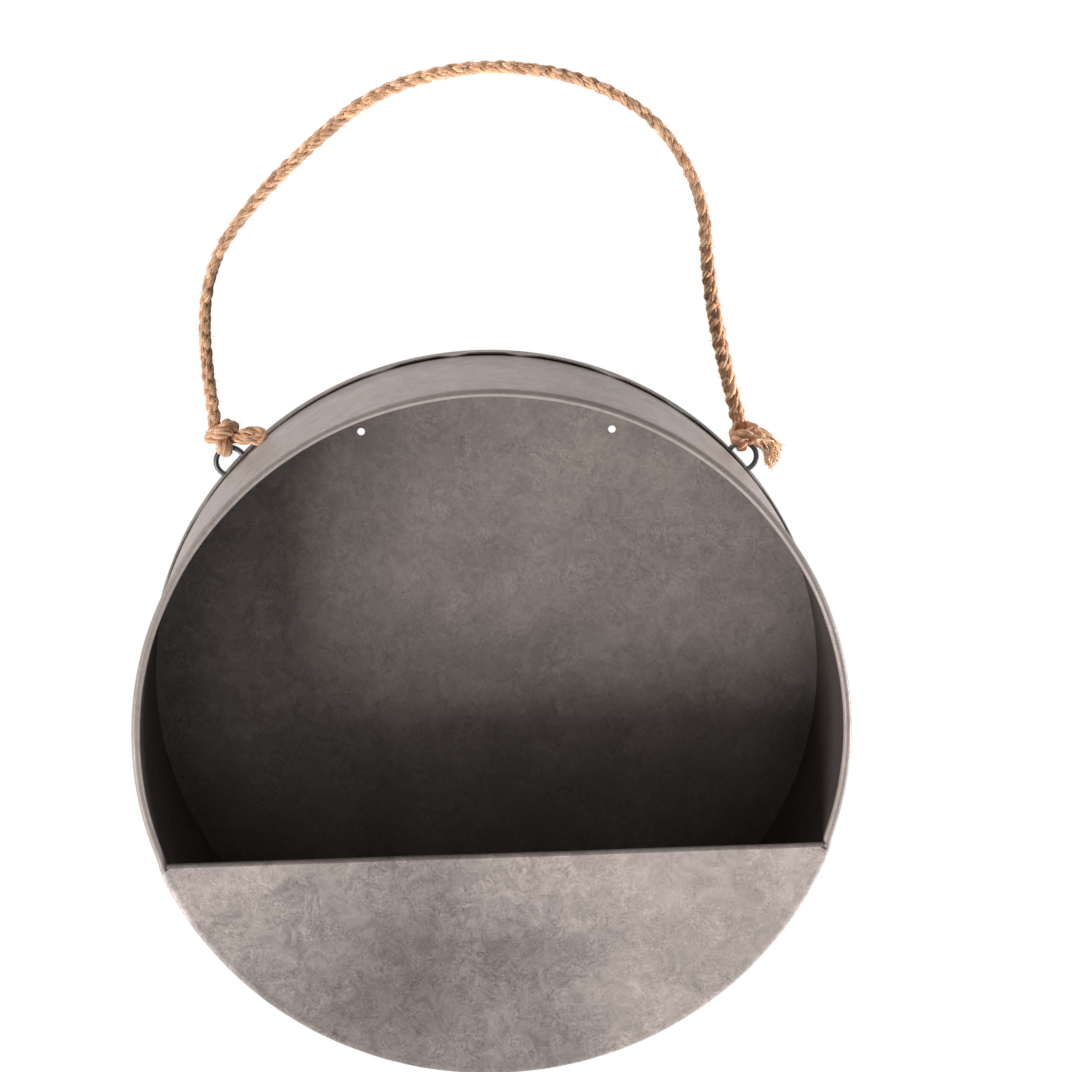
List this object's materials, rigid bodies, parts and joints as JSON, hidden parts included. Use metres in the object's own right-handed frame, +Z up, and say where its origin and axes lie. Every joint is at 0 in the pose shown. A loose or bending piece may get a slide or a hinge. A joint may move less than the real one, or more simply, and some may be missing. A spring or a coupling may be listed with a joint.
{
  "type": "wall planter",
  "caption": "Round drum-shaped wall planter in grey sheet steel: open front above a low planting pocket, wired rim, wire hanger loops and a knotted jute rope.",
  "frame": {"origin": "centre of the back plate's wall face, on the drum's axis", "axes": "+Z up towards the rope, front opening towards -Y, wall on the +Y side, +X to the right seen from the front"},
  "size_m": [0.3998, 0.1158, 0.5638],
  "materials": {
    "zinc_sheet": "galvanised sheet steel with a mottled grey patina",
    "steel_wire": "dark drawn steel wire",
    "jute_rope": "plaited natural jute"
  },
  "bodies": {
    "drum": {"back_plate": "zinc_sheet", "side_band": "zinc_sheet", "rim_wire": "steel_wire", "pocket_front": "zinc_sheet", "hanger_loop_left": "steel_wire", "hanger_loop_right": "steel_wire", "rope_tail_left": "jute_rope", "rope_tail_right": "jute_rope"},
    "rope_hanger": {"rope": "jute_rope", "knot_left": "jute_rope", "knot_right": "jute_rope"}
  },
  "joints": [
    {"name": "rope_swing", "type": "hinge", "parent": "drum", "child": "rope_hanger", "pos_m": [0, -0.0075, 0.14306], "axis": [1, 0, 0], "range_deg": [0, 75]}
  ]
}
